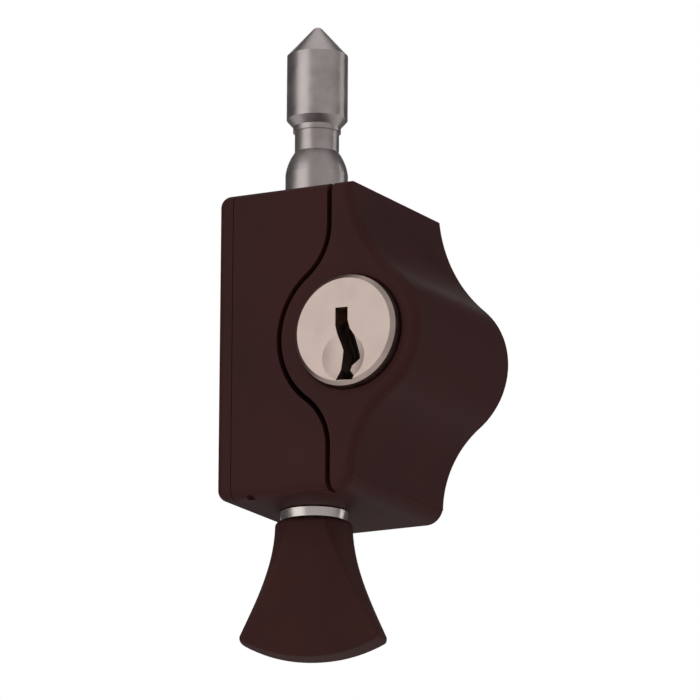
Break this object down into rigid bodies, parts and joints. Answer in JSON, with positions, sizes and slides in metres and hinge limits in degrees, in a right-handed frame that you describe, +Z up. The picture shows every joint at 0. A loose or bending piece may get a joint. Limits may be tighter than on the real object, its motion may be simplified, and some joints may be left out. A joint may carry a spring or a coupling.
{
  "type": "window sash lock",
  "caption": "Key-locking sash bolt: brown housing with a round cylinder boss, steel shoot bolt with a pointed tip, and a fishtail pull below.",
  "frame": {"origin": "on the flat mounting face, behind the bolt's axis, at half the housing's height", "axes": "+Z up along the bolt towards its tip, +Y out of the back through the mounting face, +X to the right seen from the front, where the cylinder boss is"},
  "size_m": [0.0262, 0.0229, 0.0722],
  "materials": {
    "brown_powder_coat": "dark brown powder coat on a zinc die casting, low sheen",
    "brown_moulding": "dark brown moulding, low sheen",
    "satin_steel": "turned and tumbled, satin",
    "bright_steel": "bright turned",
    "nickel_plate": "satin nickel plate",
    "plated_steel": "zinc plated",
    "spring_steel": "bare spring steel",
    "wafer_brass": "stamped",
    "black_nylon": "moulded"
  },
  "bodies": {
    "root": {"body_casting": "brown_powder_coat", "front_cover": "brown_powder_coat", "back_cover": "black_nylon", "back_cover_screws": "plated_steel", "stop_pin": "plated_steel", "detent_ball": "plated_steel", "detent_leaf": "spring_steel", "detent_screw": "plated_steel"},
    "bolt": {"bolt": "satin_steel", "stop_collar": "bright_steel"},
    "knob": {"pull_knob": "brown_moulding", "knob_pin": "plated_steel"},
    "plug": {"lock_plug": "nickel_plate", "plug_clip": "spring_steel", "lock_cam": "plated_steel", "cam_screw": "plated_steel", "wafer_spring_1": "spring_steel", "wafer_spring_2": "spring_steel", "wafer_spring_3": "spring_steel", "wafer_spring_4": "spring_steel", "wafer_spring_5": "spring_steel"},
    "slide": {"locking_slide": "plated_steel"},
    "wafer_body_1": {"wafer_1": "wafer_brass"},
    "wafer_body_2": {"wafer_2": "wafer_brass"},
    "wafer_body_3": {"wafer_3": "wafer_brass"},
    "wafer_body_4": {"wafer_4": "wafer_brass"},
    "wafer_body_5": {"wafer_5": "wafer_brass"}
  },
  "joints": [
    {"name": "bolt_slide", "type": "slide", "parent": "root", "child": "bolt", "axis": [0, 0, 1], "range_m": [-0.021, 0]},
    {"name": "knob_swivel", "type": "hinge", "parent": "bolt", "child": "knob", "pos_m": [0, -0.0116, -0.0262], "axis": [0, 0, 1], "continuous": true},
    {"name": "plug_turn", "type": "hinge", "parent": "root", "child": "plug", "pos_m": [0.0096, -0.0184, 0], "axis": [0, 1, 0], "range_deg": [0, 90]},
    {"name": "slide_stroke", "type": "slide", "parent": "root", "child": "slide", "axis": [1, 0, 0], "range_m": [-0.00454, 0]},
    {"name": "wafer_1_lift", "type": "slide", "parent": "plug", "child": "wafer_body_1", "axis": [0, 0, 1], "range_m": [0, 0.0008], "stiffness_N_per_m": 50, "deforming": ["wafer_spring_1"]},
    {"name": "wafer_2_lift", "type": "slide", "parent": "plug", "child": "wafer_body_2", "axis": [0, 0, 1], "range_m": [0, 0.0008], "stiffness_N_per_m": 50, "deforming": ["wafer_spring_2"]},
    {"name": "wafer_3_lift", "type": "slide", "parent": "plug", "child": "wafer_body_3", "axis": [0, 0, 1], "range_m": [0, 0.0008], "stiffness_N_per_m": 50, "deforming": ["wafer_spring_3"]},
    {"name": "wafer_4_lift", "type": "slide", "parent": "plug", "child": "wafer_body_4", "axis": [0, 0, 1], "range_m": [0, 0.0008], "stiffness_N_per_m": 50, "deforming": ["wafer_spring_4"]},
    {"name": "wafer_5_lift", "type": "slide", "parent": "plug", "child": "wafer_body_5", "axis": [0, 0, 1], "range_m": [0, 0.0008], "stiffness_N_per_m": 50, "deforming": ["wafer_spring_5"]}
  ],
  "couplings": [
    {"joint": "slide_stroke", "follows": "plug_turn", "m_per_rad": -0.002881}
  ]
}
